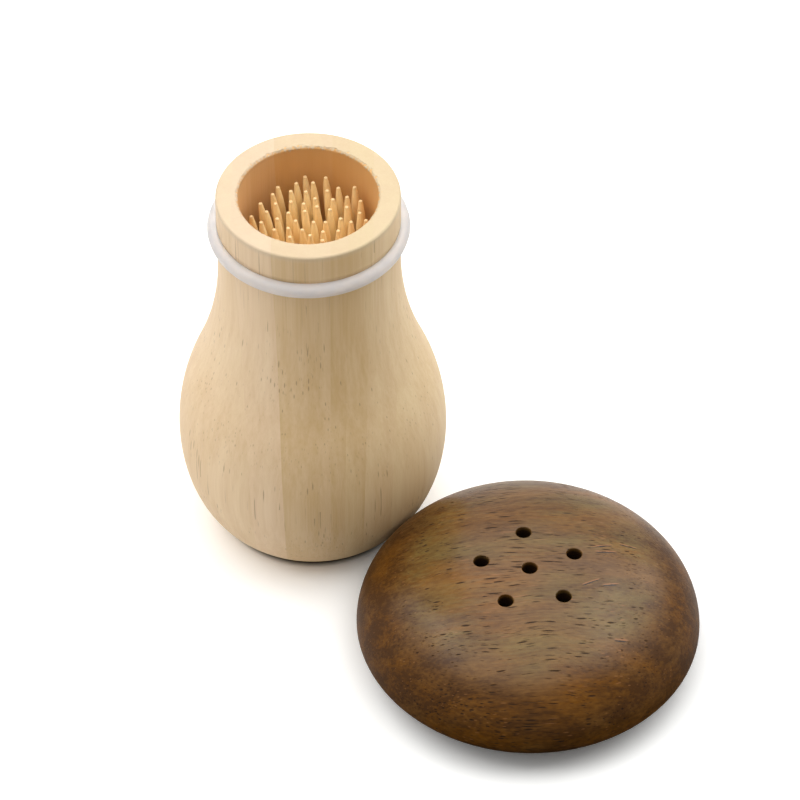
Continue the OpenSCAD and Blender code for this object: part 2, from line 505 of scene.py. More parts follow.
@dataclass(frozen=True)
class PaleWood:
    """Sanded rubberwood, glued up from upright strips."""

    effects: WoodEffects
    straw: Colour = (0.835, 0.665, 0.405)
    rose: Colour = (0.855, 0.640, 0.450)
    deep: Colour = (0.630, 0.425, 0.200)
    # The drilled wall's colour, darker and more orange partly for the rougher drilled wood and partly
    # as painted shade and warm bounced light
    bore: Colour = (0.740, 0.400, 0.130)
    fleck: Colour = (0.250, 0.140, 0.065)
    end_shade: Colour = (0.80, 0.825, 0.845)
    half_width: float = 31 * MM
    middle_z: float = 50 * MM
    relief: float = 0.04 * MM
    strips: tuple[Strip, ...] = (
        Strip(-31 * MM, 0.22, 0.70, 0.45),
        Strip(-14.3 * MM, 0.20, 0.85, 0.75),
        Strip(-6.7 * MM, 0.74, 0.62, 1.00),
        Strip(4.4 * MM, 0.90, 0.45, 0.45),
        Strip(7.9 * MM, 0.70, 0.12, 0.25),
        Strip(12.5 * MM, 0.56, 0.25, 0.30),
        Strip(19.0 * MM, 0.46, 0.08, 0.25),
    )
    bold: Dashes = Dashes(0.66, 32, 0.24, 1.5, 0.01)
    faint: Dashes = Dashes(0.42, 24, 0.26, 1.1, 0.10, (0.31, 0.17, 0.05))

    def material(self) -> Material:
        """Builds the material.

        Returns:
            The finished material.
        """
        material, graph, shader = new_material("Pale rubberwood")
        effects = self.effects
        place = graph.place()
        darkness, pinkness, flecks = self._strips(graph, place)
        # Each strip is cut from another place in the tree
        moved = graph.vector("ADD", place, graph.combine(darkness, graph.times(pinkness, 3.0)))
        fine = effects.fibres(graph, moved, 0.34, 26)
        middle = effects.fibres(graph, moved, 1.1, 48)
        broad = effects.fibres(graph, moved, 3.4, 130)
        patches = effects.patches(graph, moved, 11)
        grain = ((broad, 0.30), (middle, 0.20), (patches, 0.14), (fine, 0.15))
        depth = graph.math("SUBTRACT", graph.pile(graph.times(darkness, 0.74), *grain), 0.10)
        ends = graph.mask(Mask.END_GRAIN)
        depth = graph.times(depth, graph.plus(ends, -0.50, 0.90), clamp=True)
        hue = graph.plus(broad, 0.35, graph.plus(pinkness, 0.9, -0.15), clamp=True)
        colour = graph.blend(depth, graph.blend(hue, self.straw, self.rose), self.deep)
        colour = graph.blend(ends, colour, self.end_shade, "MULTIPLY")
        # Painted shade: the drilled wall is painted darker and more orange, partly for the rougher
        # drilled wood and partly for the shade and warm bounced light inside the bore
        walls = graph.mask(Mask.BORE)
        drilled_tone_and_shade = graph.times(walls, graph.plus(darkness, 0.32, 0.60))
        colour = graph.blend(drilled_tone_and_shade, colour, self.bore)

        crowd = graph.math("POWER", effects.patches(graph, moved, 6.5), 1.6)
        crowd = graph.times(crowd, flecks)
        bold = graph.times(effects.dashes(graph, moved, self.bold, crowd), 0.52)
        faint = graph.times(effects.dashes(graph, moved, self.faint, crowd), 0.26)
        open_face = graph.math("SUBTRACT", 1.0, graph.math("MAXIMUM", ends, walls))
        marks = graph.times(graph.math("MAXIMUM", bold, faint), open_face)
        colour = graph.blend(marks, colour, self.fleck)
        graph.feed(shader.inputs["Base Color"], colour)
        rough = graph.plus(fine, 0.10, graph.plus(walls, 0.2, 0.48))
        graph.feed(shader.inputs["Roughness"], rough)
        relief = graph.math("SUBTRACT", graph.times(fine, 0.4), marks)
        bumped(graph, shader, relief, self.relief)
        return material

    def _strips(self, graph: Graph, place: Socket) -> list[Socket]:
        """Returns how dark, how pink and how flecked the strip at a place is."""
        x, _, z = graph.separate(place)
        above = graph.math("SUBTRACT", z, self.middle_z)
        # The strips are sawn a little wider towards the foot
        narrowed = graph.plus(above, -2.7, 1.0)
        x = graph.plus(above, 0.004, graph.times(x, narrowed))
        share = graph.add(
            "ShaderNodeMapRange",
            {"Value": x, "From Min": -self.half_width, "From Max": self.half_width},
        ).outputs[0]
        starts = [0.5 + strip.start / (2 * self.half_width) for strip in self.strips]
        looks = [(strip.darkness, strip.pinkness, strip.flecks) for strip in self.strips]
        return graph.separate(graph.steps(share, list(zip(starts, looks))))


@dataclass(frozen=True)
class Scratch:
    """One long scratch in the cap, placed from the middle of its top."""

    x: float
    y: float
    length: float
    slope: float


@dataclass(frozen=True)
class DarkWood:
    """The same wood stained walnut brown under a satin lacquer, with its fibres along X."""

    effects: WoodEffects
    centre: Vector
    brown: Colour = (0.190, 0.094, 0.028)
    olive: Colour = (0.164, 0.110, 0.030)
    umber: Colour = (0.060, 0.022, 0.003)
    amber: Colour = (0.225, 0.082, 0.004)
    pore: Colour = (0.014, 0.006, 0.003)
    rust: Colour = (0.310, 0.135, 0.050)
    grain_turn: float = math.radians(3)
    scratches: tuple[Scratch, ...] = (
        Scratch(16.2 * MM, 7.0 * MM, 5.2 * MM, 0.25),
        Scratch(17.0 * MM, 5.3 * MM, 5.6 * MM, 0.09),
        Scratch(22.0 * MM, 8.2 * MM, 4.6 * MM, -0.08),
        Scratch(13.4 * MM, -4.1 * MM, 4.8 * MM, 0.50),
        Scratch(17.8 * MM, -4.3 * MM, 4.4 * MM, 0.23),
        Scratch(19.6 * MM, -18.5 * MM, 3.6 * MM, 0.10),
    )
    flaws: Dashes = Dashes(0.60, 11.0, 0.24, 0.80, 0.04, (0.7, 0.6, 0.1))
    bold: Dashes = Dashes(0.72, 6.4, 0.29, 1.00, 0.08)
    hairs: Dashes = Dashes(0.40, 4.2, 0.32, 0.60, 0.25, (0.2, 0.3, 0.4))
    lacquer: float = 0.42
    soaked: float = 0.95
    lacquer_roughness: float = 0.24
    shine: float = 0.10
    relief: float = 0.06 * MM
    # Where the painted shade round the side fades out towards the back, where it lies round the side,
    # and where it lies on the flanks
    back_zone: Span = (8 * MM, 24 * MM)
    side_shade_zone: Span = (24.5 * MM, 33.5 * MM)
    flank_zone: Span = (22 * MM, 33 * MM)

    def material(self) -> Material:
        """Builds the material.

        Returns:
            The finished material.
        """
        material, graph, shader = new_material("Walnut-stained wood")
        effects = self.effects
        along = self._along(graph)
        fine = effects.fibres(graph, along, 0.34, 9)
        middle = effects.fibres(graph, along, 1.0, 16)
        broad = effects.fibres(graph, along, 3.4, 40)
        patches = effects.patches(graph, along, 5.5)
        speckle = effects.patches(graph, along, 0.7, (0.8, 0.3, 0.2))
        green = effects.patches(graph, along, 9, (0.6, 0.2, 0.9))
        warm = effects.patches(graph, along, 8, (0.21, 0.4, 0.13))
        crowd = effects.patches(graph, along, 7, (0.5, 0.1, 0.7))

        place = graph.place()
        off = graph.vector("MULTIPLY", graph.vector("SUBTRACT", place, self.centre), (1.0, 1.0, 0.0))
        away = graph.measure("LENGTH", off)
        # Painted shade and sheen: the colour is painted darker and more orange round the side and on
        # the flanks, where shade falls, and lighter and more olive on the crown and the back, where the
        # sheen falls
        across, back, _ = graph.separate(off)
        kept = graph.spread(back, *self.back_zone, 1.0, 0.2)
        side = graph.times(graph.spread(away, *self.side_shade_zone), kept)
        flank = graph.spread(graph.math("ABSOLUTE", across), *self.flank_zone)
        greened = graph.times(green, graph.plus(side, -0.7, 0.9))
        colour = graph.blend(greened, self.brown, self.olive)
        rich = graph.times(warm, graph.plus(side, 0.4, middle))
        rich = graph.plus(side, 0.35, graph.times(rich, 0.75), clamp=True)
        colour = graph.blend(rich, colour, self.amber)
        grain = ((broad, 0.40), (middle, 0.22), (fine, 0.24), (speckle, 0.22))
        # Painted shade: the side and the flanks are darkened here along with the grain
        depth = graph.pile(graph.times(patches, 0.28), *grain, (side, 0.37), (flank, 0.14))
        depth = graph.math("SUBTRACT", depth, 0.30, clamp=True)
        colour = graph.blend(depth, colour, self.umber)

        flaws = graph.times(effects.dashes(graph, along, self.flaws, warm), 0.40)
        colour = graph.blend(flaws, colour, self.rust)
        bite = graph.spread(speckle, 0.15, 0.45, 0.45, 1.0)
        for scratch in self.scratches:
            groove, lip = self._scratch(graph, off, scratch, middle)
            colour = graph.blend(graph.times(lip, 0.65), colour, self.rust)
            colour = graph.blend(graph.times(groove, bite), colour, self.pore)
        bold = graph.times(effects.dashes(graph, along, self.bold, crowd), 0.85)
        hairs = graph.times(effects.dashes(graph, along, self.hairs, crowd), 0.55)
        marks = graph.times(graph.math("MAXIMUM", bold, hairs), graph.plus(flank, -0.75, 1.0))
        colour = graph.blend(marks, colour, self.pore)
        # Painted shade: the walls of the holes are painted nearly black, for the shade inside them
        holes = graph.times(graph.mask(Mask.BORE), 0.93)
        colour = graph.blend(holes, colour, self.pore)
        graph.feed(shader.inputs["Base Color"], colour)
        rough = graph.plus(marks, 0.25, graph.plus(fine, 0.10, 0.38))
        graph.feed(shader.inputs["Roughness"], rough)
        # The lacquer soaked in round the side and shines most on the crown
        film = graph.plus(side, -self.soaked * self.lacquer, self.lacquer)
        film = graph.math("SUBTRACT", film, graph.times(marks, self.lacquer), clamp=True)
        graph.feed(shader.inputs["Coat Weight"], film)
        shader.inputs["Coat Roughness"].default_value = self.lacquer_roughness
        shader.inputs["Specular IOR Level"].default_value = self.shine
        relief = graph.math("SUBTRACT", graph.times(fine, 0.3), marks)
        bumped(graph, shader, relief, self.relief)
        return material

    @staticmethod
    def _scratch(graph: Graph, off: Socket, scratch: Scratch, wobble: Socket) -> tuple[Socket, Socket]:
        """Returns the masks of one scratch.

        Args:
            graph: The material's graph.
            off: The place, measured from the middle of the top.
            scratch: Where the scratch is.
            wobble: What bends it a little.

        Returns:
            The masks of its dark groove and of the lighter orange line just behind it.
        """
        x, y, _ = graph.separate(graph.vector("SUBTRACT", off, (scratch.x, scratch.y, 0.0)))
        middle = graph.plus(wobble, 0.25 * MM, graph.times(x, scratch.slope))
        aside = graph.math("SUBTRACT", y, middle)
        half = scratch.length / 2
        here = graph.spread(graph.math("ABSOLUTE", x), half, 0.6 * half)
        groove = graph.spread(graph.math("ABSOLUTE", aside), 0.22 * MM, 0.08 * MM)
        behind = graph.math("ABSOLUTE", graph.math("SUBTRACT", aside, 0.36 * MM))
        lip = graph.spread(behind, 0.28 * MM, 0.06 * MM)
        return graph.times(groove, here), graph.times(lip, here)

    def _along(self, graph: Graph) -> Socket:
        """Returns the place on the piece with its fibres' direction as Z, a little wavy."""
        place = graph.place()
        turned = graph.add(
            "ShaderNodeVectorRotate",
            {"Vector": place, "Angle": -self.grain_turn},
            rotation_type="Z_AXIS",
        ).outputs[0]
        x, y, z = graph.separate(turned)
        along = graph.combine(y, z, x)
        bend = self.effects.patches(graph, along, 12)
        return graph.vector("ADD", along, graph.combine(graph.times(bend, 1.6 * MM)))


@dataclass(frozen=True)
class ToothpickWood:
    """Golden split wood with its fibres along each toothpick, and its cut tips painted darker as
    painted shade against the strong light on them.
    """

    effects: WoodEffects
    golden: Colour = (1.000, 0.820, 0.450)
    tan: Colour = (0.940, 0.640, 0.290)
    # Painted shade: the cut tips' colour, darker than the shaft to hold back the strong light on them
    cut: Colour = (0.760, 0.520, 0.250)
    nicks: Dashes = Dashes(0.35, 4, 0.2, 0.0, 0.35)

    def material(self) -> Material:
        """Builds the material.

        Returns:
            The finished material.
        """
        material, graph, shader = new_material("Toothpick wood")
        fibre = graph.mask(Mask.FIBRE, "Vector")
        tone = graph.mask(Mask.TONE)
        tip = graph.mask(Mask.TIP)
        fine = self.effects.fibres(graph, fibre, 0.16, 14)
        patches = self.effects.patches(graph, fibre, 4)
        depth = graph.plus(fine, 0.40, graph.times(tone, 0.45))
        depth = graph.plus(patches, 0.2, depth, clamp=True)
        colour = graph.blend(depth, self.golden, self.tan)
        nicks = self.effects.dashes(graph, fibre, self.nicks)
        colour = graph.blend(graph.times(nicks, 0.35), colour, self.tan)
        # Painted shade: the tips are painted darker
        colour = graph.blend(graph.times(tip, 0.75), colour, self.cut)
        graph.feed(shader.inputs["Base Color"], colour)
        graph.feed(shader.inputs["Roughness"], graph.plus(fine, 0.15, 0.50))
        bumped(graph, shader, graph.math("SUBTRACT", fine, nicks), 0.03 * MM)
        return material


@dataclass(frozen=True)
class Silicone:
    """Milky silicone that lets a little light through."""

    milk: Colour = (0.91, 0.87, 0.85)
    clear: Colour = (0.84, 0.82, 0.82)

    def material(self) -> Material:
        """Builds the material.

        Returns:
            The finished material.
        """
        material, graph, shader = new_material("Milky silicone")
        place = graph.place()
        cloud = graph.clouds(graph.vector("DIVIDE", place, (4 * MM, 4 * MM, 2 * MM)), 3.0)
        graph.feed(
            shader.inputs["Base Color"],
            graph.blend(graph.spread(cloud, 0.35, 0.65), self.milk, self.clear),
        )
        graph.feed(shader.inputs["Roughness"], graph.spread(cloud, 0.2, 0.8, 0.30, 0.42))
        plain = {
            "IOR": 1.41,
            "Transmission Weight": 0.38,
            "Subsurface Weight": 0.60,
            "Subsurface Radius": (1.2, 1.1, 1.0),
            "Subsurface Scale": 2.0 * MM,
        }
        for name, value in plain.items():
            shader.inputs[name].default_value = value
        speck = graph.clouds(graph.vector("DIVIDE", place, (0.3 * MM,) * 3), 1.0)
        bumped(graph, shader, speck, 0.01 * MM)
        return material


# -------------------------------------------------------------- turned shapes


class Lathe:
    """The Geometry Nodes tree that turns an outline round the Z axis."""

    def __init__(self) -> None:
        """Builds the tree."""
        group = ShapeTree(
            "Turned form",
            {
                "Outline": (Group.GEOMETRY, None),
                "Segments": (Group.INT, 96),
                "Weld Distance": (Group.FLOAT, WELD),
                "Finish": (Group.MATERIAL, None),
            },
        )
        given = group.given
        count = group.add(
            "GeometryNodeAttributeDomainSize", {"Geometry": given["Outline"]}, component="MESH"
        ).outputs["Point Count"]
        grid = group.add(
            "GeometryNodeMeshGrid",
            {
                "Size X": 1.0,
                "Size Y": 1.0,
                "Vertices X": group.math("ADD", given["Segments"], 1.0),
                "Vertices Y": count,
            },
        ).outputs["Mesh"]
        index = group.add("GeometryNodeInputIndex").outputs[0]
        step = group.math("MODULO", index, count)
        turn = group.math("FLOOR", group.math("DIVIDE", index, count))
        sample = group.add(
            "GeometryNodeSampleIndex",
            {
                "Geometry": given["Outline"],
                "Value": group.add("GeometryNodeInputPosition").outputs[0],
                "Index": step,
            },
            data_type="FLOAT_VECTOR",
            domain="POINT",
        ).outputs[0]
        # The last row of the grid meets the first again, so its turn counts as none
        share = group.math("DIVIDE", group.math("MODULO", turn, given["Segments"]), given["Segments"])
        angle = group.times(share, 2 * math.pi)
        turned = group.add(
            "ShaderNodeVectorRotate", {"Vector": sample, "Angle": angle}, rotation_type="Z_AXIS"
        ).outputs[0]
        placed = group.add("GeometryNodeSetPosition", {"Geometry": grid, "Position": turned})
        welded = group.add(
            "GeometryNodeMergeByDistance",
            {"Geometry": placed.outputs[0], "Distance": given["Weld Distance"]},
        )
        group.coat(welded.outputs[0])
        self.group = group

    def turn(self, name: str, outline: Outline, segments: int, finish: Material) -> bpy.types.Object:
        """Turns one outline.

        Args:
            name: The object's name.
            outline: Radius and height of each point, along the outline.
            segments: How many steps one turn takes.
            finish: The material.

        Returns:
            A plain mesh object, with its faces turned outwards.
        """
        mesh = bpy.data.meshes.new(name)
        mesh.from_pydata([(r, 0.0, z) for r, z in outline], [], [])
        piece = new_object(name, mesh)
        apply_tree(piece, self.group, {"Segments": segments, "Finish": finish})
        tidy_mesh(piece.data)
        return piece


def apply_tree(piece: bpy.types.Object, group: Group, inputs: dict[str, Any]) -> None:
    """Runs a Geometry Nodes tree on an object and keeps the result as its plain mesh.

    Args:
        piece: The object, with the mesh that the tree starts from.
        group: The tree.
        inputs: Values for the tree's named inputs.
    """
    modifier = piece.modifiers.new(group.tree.name, "NODES")
    modifier.node_group = group.tree
    for name, value in inputs.items():
        modifier[group.keys[name]] = value
    graph = bpy.context.evaluated_depsgraph_get()
    made = bpy.data.meshes.new_from_object(
        piece.evaluated_get(graph), preserve_all_data_layers=True, depsgraph=graph
    )
    piece.modifiers.clear()
    old, piece.data = piece.data, made
    bpy.data.meshes.remove(old)
    made.name = piece.name
    # The grid that a form starts from brings an empty material slot of its own
    finish = next(material for material in made.materials if material)
    made.materials.clear()
    made.materials.append(finish)
    made.polygons.foreach_set("material_index", [0] * len(made.polygons))


def tidy_mesh(mesh: bpy.types.Mesh) -> None:
    """Welds a closed mesh, turns its faces outwards and shades it smooth."""
    work = bmesh.new()
    work.from_mesh(mesh)
    bmesh.ops.remove_doubles(work, verts=work.verts, dist=WELD)
    bmesh.ops.dissolve_degenerate(work, edges=work.edges, dist=WELD)
    bmesh.ops.recalc_face_normals(work, faces=work.faces)
    for face in work.faces:
        face.smooth = True
    work.to_mesh(mesh)
    work.free()
    mesh.update()


def set_mask(mesh: bpy.types.Mesh, mask: Mask, level: Callable[[Vector], float]) -> None:
    """Writes a mask on a mesh.

    Args:
        mesh: The mesh.
        mask: Which mask.
        level: The mask's level at a point of the mesh.
    """
    layer = mesh.attributes.new(mask.value, "FLOAT", "POINT")
    layer.data.foreach_set("value", [level(vertex.co) for vertex in mesh.vertices])


def arc(centre: Span, radius: float, start: float, end: float, steps: int) -> Outline:
    """Returns points along an arc.

    Args:
        centre: Radius and height of its centre.
        radius: The arc's radius.
        start: Its first angle, in degrees.
        end: Its last angle, in degrees.
        steps: How many steps it takes.

    Returns:
        The points, both ends included.
    """
    angles = [math.radians(start + (end - start) * k / steps) for k in range(steps + 1)]
    return [(centre[0] + radius * math.cos(a), centre[1] + radius * math.sin(a)) for a in angles]


def line(start: Span, end: Span, steps: int) -> Outline:
    """Returns points along a straight stretch, both ends included."""
    return [
        (start[0] + (end[0] - start[0]) * k / steps, start[1] + (end[1] - start[1]) * k / steps)
        for k in range(steps + 1)
    ]


def swell(centre: Span, size: Span, fullness: Span, turns: Span, steps: int) -> Outline:
    """Returns points along a superellipse.

    Args:
        centre: Radius and height of its centre.
        size: Its half axes, outwards and upwards.
        fullness: How full it is outwards and upwards, where 2 is an ellipse.
        turns: Its first and last angle.
        steps: How many steps it takes.

    Returns:
        The points, both ends included.
    """
    first, last = turns
    angles = [first + (last - first) * k / steps for k in range(steps + 1)]
    outward, upward = 2 / fullness[0], 2 / fullness[1]
    return [
        (centre[0] + size[0] * math.cos(a) ** outward, centre[1] + size[1] * math.sin(a) ** upward)
        for a in angles
    ]


def chain(*stretches: Outline) -> Outline:
    """Joins stretches of an outline and drops the points that two of them share."""
    joined: Outline = []
    for point in (point for stretch in stretches for point in stretch):
        if not joined or math.dist(point, joined[-1]) > 2 * WELD:
            joined.append(point)
    return joined


def ramp(value: float, low: float, high: float) -> float:
    """Returns how far a value has come from low to high, held between 0 and 1."""
    return min(1.0, max(0.0, (value - low) / (high - low)))


def dress(piece: bpy.types.Object, body: str, nodes: Iterable[str] = ()) -> None:
    """Hands a finished piece to the frame.

    Args:
        piece: The finished piece.
        body: The body that it rides on.
        nodes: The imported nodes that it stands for.
    """
    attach(piece, body)
    nodes = tuple(nodes)
    if nodes:
        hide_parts(*nodes)
    stands_for = ", ".join(nodes) or "no node"
    log.info("%s: %d faces on %s, for %s", piece.name, len(piece.data.polygons), body, stands_for)


# ------------------------------------------------------------------ the parts


@dataclass
class Vessel:
    """The turned wooden vessel."""

    height: float = 95 * MM
    foot_r: float = 18.5 * MM
    belly_r: float = 30.28 * MM
    belly_z: float = 25.4 * MM
    foot_cut: float = 0.3 * MM
    shoulder_arc: float = 52.5 * MM
    throat_arc: float = 84 * MM
    neck_r: float = 20 * MM
    rim_round: float = 0.5 * MM
    mouth_bevel: float = 0.4 * MM
    bore_r: float = 15.2 * MM
    bore_floor: float = 24 * MM
    groove_r: float = 1.7 * MM
    groove_z: float = 85.9 * MM
    groove_centre_r: float = 20.3 * MM
    # How far in and how high the point between the foot's flat and its rounding is
    foot_edge: Span = (0.18 * MM, 0.03 * MM)
    corner: float = 0.5 * MM
    crisp: float = 0.04 * MM
    fine_reach: float = 1.0 * MM
    fine_drop: float = 2.4 * MM
    segments: int = 384
    tear_depth: float = 0.34 * MM
    tear_reach: float = 0.9 * MM
    tooth: float = 0.95 * MM
    grain: float = 0.55 * MM
    chips: float = 1.7 * MM

    def outline(self) -> Outline:
        """Returns the outline from the middle of the foot, over the rim, to the bore's floor."""
        half_h = self.belly_z + self.foot_cut
        last = math.asin(self.belly_z / half_h)
        half_w = (self.belly_r - self.foot_r) / (1 - math.cos(last))
        angles = [last * (1 - k / 40) for k in range(41)]
        belly = [
            (self.belly_r - half_w * (1 - math.cos(a)), self.belly_z - half_h * math.sin(a))
            for a in angles
        ]
        shoulder_x = self.belly_r - self.shoulder_arc
        reach = self.neck_r + self.throat_arc - shoulder_x
        rise = math.sqrt((self.shoulder_arc + self.throat_arc) ** 2 - reach**2)
        meeting = math.degrees(math.atan2(rise, reach))
        shoulder = arc((shoulder_x, self.belly_z), self.shoulder_arc, 0, meeting, 36)
        throat_centre = (self.neck_r + self.throat_arc, self.belly_z + rise)
        throat = arc(throat_centre, self.throat_arc, 180 + meeting, 180, 36)
        lip = math.degrees(math.acos((self.neck_r - self.groove_centre_r) / self.groove_r))
        groove = arc((self.groove_centre_r, self.groove_z), self.groove_r, 360 - lip, lip, 16)
        rim = arc(
            (self.neck_r - self.rim_round, self.height - self.rim_round), self.rim_round, 0, 90, 8
        )
        mouth_r = self.bore_r + self.mouth_bevel
        mouth_z = self.height - self.mouth_bevel
        fine_r, fine_z = mouth_r + self.fine_reach, self.height - self.fine_drop
        corner, crisp = self.corner, self.crisp
        return chain(
            line((0.0, 0.0), (self.foot_r - corner, 0.0), 24),
            [(self.foot_r - self.foot_edge[0], self.foot_edge[1])],
            belly[1:],
            shoulder,
            throat,
            line(throat[-1], groove[0], 6),
            groove,
            line(groove[-1], rim[0], 6),
            rim,
            line(rim[-1], (fine_r, self.height), 8),
            line((fine_r, self.height), (mouth_r + crisp, self.height), 9),
            line((mouth_r - crisp, self.height - crisp), (self.bore_r + crisp, mouth_z + crisp), 3),
            line((self.bore_r, mouth_z - crisp), (self.bore_r, fine_z), 14),
            line((self.bore_r, fine_z), (self.bore_r, self.bore_floor + corner), 40),
            arc((self.bore_r - corner, self.bore_floor + corner), corner, 0, -90, 5),
            line((self.bore_r - corner, self.bore_floor), (0.0, self.bore_floor), 20),
        )

    def tear_mouth(self, mesh: bpy.types.Mesh) -> None:
        """Frays the edge of the bore, where the drill tore the end grain.

        Args:
            mesh: The turned vessel.
        """
        edge_r = self.bore_r + self.mouth_bevel
        for vertex in mesh.vertices:
            x, y, z = vertex.co
            r = math.hypot(x, y)
            near = max(abs(r - edge_r), abs(z - self.height)) / self.tear_reach
            if near >= 1 or z < self.height - self.tear_reach:
                continue
            bite = noise.noise(Vector((x, y, 0.0)) / self.grain)
            chip = noise.noise(Vector((x + 1.0, y, 0.0)) / self.chips)
            # The drill tore the far side of the mouth more
            fade = (1 - near) ** 1.5 * (0.65 + 0.35 * y / r)
            out = self.tear_depth * fade * (0.2 + bite + 0.9 * max(0.0, chip))
            vertex.co.x += x / r * out
            vertex.co.y += y / r * out
            vertex.co.z = min(self.height, z - 0.7 * fade * self.tear_depth * max(0.0, bite + chip))
        mesh.update()

    def bore_level(self, point: Vector) -> float:
        """Returns how much a point of the vessel belongs to the drilled wall, from 0 to 1."""
        r = math.hypot(point.x, point.y)
        if r > self.bore_r + 2 * self.mouth_bevel:
            return 0.0
        # The pale end grain hangs into the bore in teeth, most on the far side
        far = 0.55 + 0.45 * point.y / max(r, WELD)
        tooth = noise.noise(Vector((point.x, point.y, 0.0)) / self.grain)
        edge = self.height - 0.7 * self.mouth_bevel + self.tooth * far * (tooth - 0.05)
        floor = ramp(point.z, self.bore_floor - 2 * MM, self.bore_floor - 1 * MM)
        return ramp(edge - point.z, 0.0, 0.12 * MM) * floor

    def end_level(self, point: Vector) -> float:
        """Returns how much a point of the vessel is cut across the grain, from 0 to 1."""
        top = self.height - 0.35 * MM
        torn = math.hypot(point.x, point.y) < self.bore_r + 2 * self.mouth_bevel
        return max(
            ramp(point.z, top - 0.5 * MM, top),
            ramp(point.z, top - 1.2 * MM, top - 0.8 * MM) * torn,
            ramp(0.4 * MM - point.z, 0.0, 0.4 * MM),
        )

    def build(self, lathe: Lathe, finish: Material) -> None:
        """Builds the vessel and dresses it.

        Args:
            lathe: The tree that turns outlines.
            finish: The pale wood.
        """
        piece = lathe.turn("turned_vessel", self.outline(), self.segments, finish)
        self.tear_mouth(piece.data)
        set_mask(piece.data, Mask.BORE, self.bore_level)
        set_mask(piece.data, Mask.END_GRAIN, self.end_level)
        dress(piece, "vessel", ["vessel"])


@dataclass
class TornFibres:
    """The loose fibres that the drill left standing along the edge of the bore."""

    edge_r: float = 15.62 * MM
    edge_z: float = 94.78 * MM
    count: int = 190
    length: float = 0.80 * MM
    thickness: float = 0.15 * MM
    seed: int = 5

    def tree(self) -> ShapeTree:
        """Returns the Geometry Nodes tree that scatters the fibres round the edge."""
        group = ShapeTree(
            "Torn fibres",
            {
                "Geometry": (Group.GEOMETRY, None),
                "Edge Radius": (Group.FLOAT, self.edge_r),
                "Edge Height": (Group.FLOAT, self.edge_z),
                "Count": (Group.INT, self.count),
                "Length": (Group.FLOAT, self.length),
                "Thickness": (Group.FLOAT, self.thickness),
                "Seed": (Group.INT, self.seed),
                "Finish": (Group.MATERIAL, None),
            },
        )
        given = group.given
        index = group.add("GeometryNodeInputIndex").outputs[0]
        spread = group.math("ADD", index, self._chance(group, 0, 0.0, 1.0))
        angle = group.times(group.math("DIVIDE", spread, given["Count"]), 2 * math.pi)
        cosine, sine = group.math("COSINE", angle), group.math("SINE", angle)
        out = group.combine(cosine, sine)
        side = group.combine(group.times(sine, -1.0), cosine)
        place = group.scaled(out, given["Edge Radius"])
        height = group.math("ADD", given["Edge Height"], self._chance(group, 1, -0.3 * MM, 0.05 * MM))
        place = group.vector("ADD", place, group.combine(0.0, 0.0, height))
        points = group.add("GeometryNodePoints", {"Count": given["Count"], "Position": place})

        aside = group.scaled(side, self._chance(group, 2, -1.1, 1.1))
        down = group.combine(0.0, 0.0, self._chance(group, 3, -0.7, 0.0))
        heading = group.vector("ADD", group.vector("SUBTRACT", aside, out), down)
        turn = group.facing(heading)
        # Longer on the far side of the mouth, where the drill tore more
        far = group.plus(sine, 0.42, 0.58)
        long = group.times(self._chance(group, 4, 0.25, 1.0), given["Length"])
        thick = group.times(self._chance(group, 5, 0.35, 1.0), given["Thickness"])
        size = group.combine(thick, thick, group.times(long, far))
        sliver = group.add(
            "GeometryNodeMeshCone",
            {"Vertices": 5, "Side Segments": 2, "Radius Top": 0.15, "Radius Bottom": 1.0, "Depth": 1.0},
        ).outputs["Mesh"]
        scattered = group.add(
            "GeometryNodeInstanceOnPoints",
            {"Points": points.outputs[0], "Instance": sliver, "Rotation": turn, "Scale": size},
        )
        group.coat(scattered.outputs[0])
        return group

    @staticmethod
    def _chance(group: Group, series: int, low: float, high: float) -> Socket:
        """Returns a chance value for each fibre, with a series of its own for each use."""
        node = group.add("FunctionNodeRandomValue", data_type="FLOAT")
        for socket in node.inputs:
            if socket.name == "Min" and socket.type == "VALUE":
                socket.default_value = low
            if socket.name == "Max" and socket.type == "VALUE":
                socket.default_value = high
            if socket.name == "Seed":
                group.feed(socket, group.math("ADD", group.given["Seed"], series))
        return next(socket for socket in node.outputs if socket.enabled)

    def build(self, finish: Material) -> None:
        """Builds the fibres and dresses them.

        Args:
            finish: The pale wood.
        """
        piece = new_object("torn_bore_fibres", bpy.data.meshes.new("torn_bore_fibres"))
        apply_tree(piece, self.tree(), {"Seed": self.seed, "Finish": finish})
        set_mask(piece.data, Mask.END_GRAIN, lambda p: 1.0)
        dress(piece, "vessel")


@dataclass
class SealRing:
    """The stretched silicone ring in the neck's groove."""

    section_r: float = 1.75 * MM
    centre_r: float = 20.3 * MM
    height: float = 85.9 * MM
    flash: float = 0.05 * MM
    steps: int = 48
    segments: int = 256

    def outline(self) -> Outline:
        """Returns the round section, with the faint ridge that its mould leaves outside."""
        points = []
        for k in range(self.steps + 1):
            angle = 2 * math.pi * k / self.steps
            ridge = self.flash * max(0.0, 1 - abs(math.sin(angle)) / 0.1) * (math.cos(angle) > 0)
            r = self.section_r - self.flash + ridge
            points.append((self.centre_r + r * math.cos(angle), self.height + r * math.sin(angle)))
        return points

    def build(self, lathe: Lathe, finish: Material) -> None:
        """Builds the ring and dresses it.

        Args:
            lathe: The tree that turns outlines.
            finish: The silicone.
        """
        piece = lathe.turn("silicone_ring", self.outline(), self.segments, finish)
        dress(piece, "vessel", ["seal_ring"])


